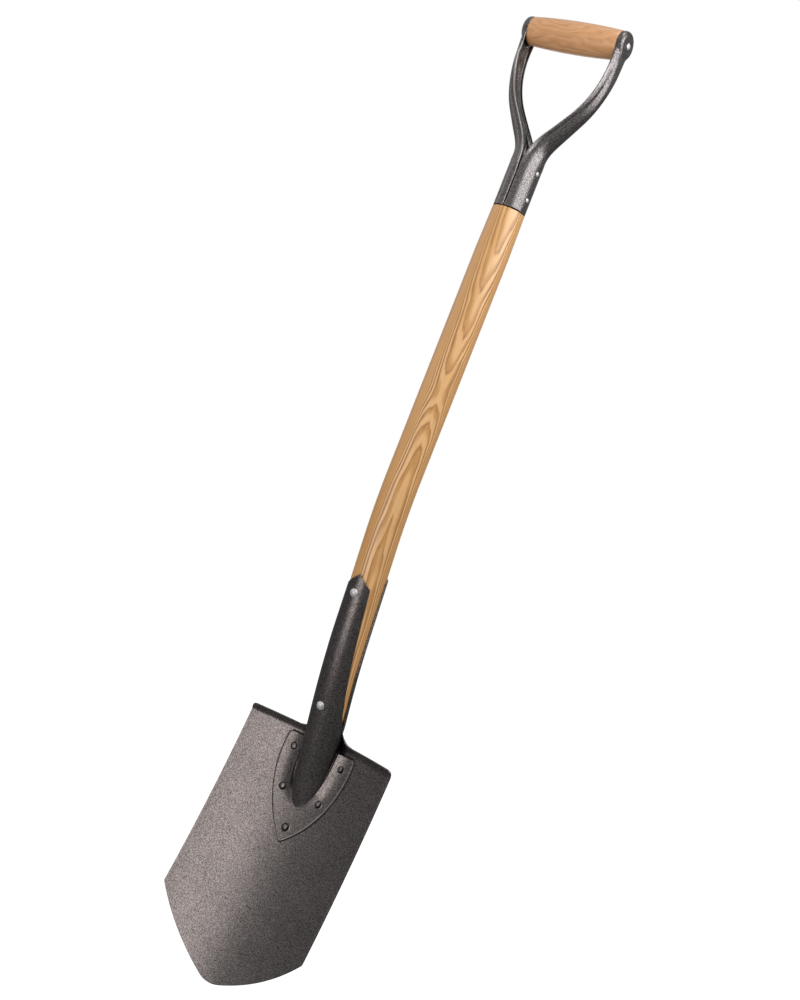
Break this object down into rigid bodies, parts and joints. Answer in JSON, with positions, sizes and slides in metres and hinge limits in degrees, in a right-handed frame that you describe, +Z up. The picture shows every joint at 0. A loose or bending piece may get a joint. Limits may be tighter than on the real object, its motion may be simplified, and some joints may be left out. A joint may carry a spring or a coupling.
{
  "type": "pointed spade",
  "caption": "Garden spade with a dished pointed steel blade riveted by straps to a bent ash shaft, and a steel yoke holding a wooden cross grip.",
  "frame": {"origin": "centre of the cross grip, on its axis", "axes": "+Z up along the straight upper shaft, +X along the cross grip to the right seen from the front, -Y towards the blade's hollow front face"},
  "size_m": [0.195, 0.0799, 1.0974],
  "materials": {
    "coated_steel": "dark grey hammered coating, satin",
    "ash_wood": "satin varnish",
    "bright_steel": "bright, domed heads"
  },
  "bodies": {
    "root": {"blade": "coated_steel", "front_strap": "coated_steel", "shaft": "ash_wood", "left_yoke_arm": "coated_steel", "right_yoke_arm": "coated_steel", "cross_grip": "ash_wood", "grip_pin": "bright_steel", "yoke_rivets": "bright_steel", "strap_rivet_upper": "bright_steel", "strap_rivet_lower": "bright_steel", "plate_rivets": "coated_steel"}
  },
  "joints": []
}
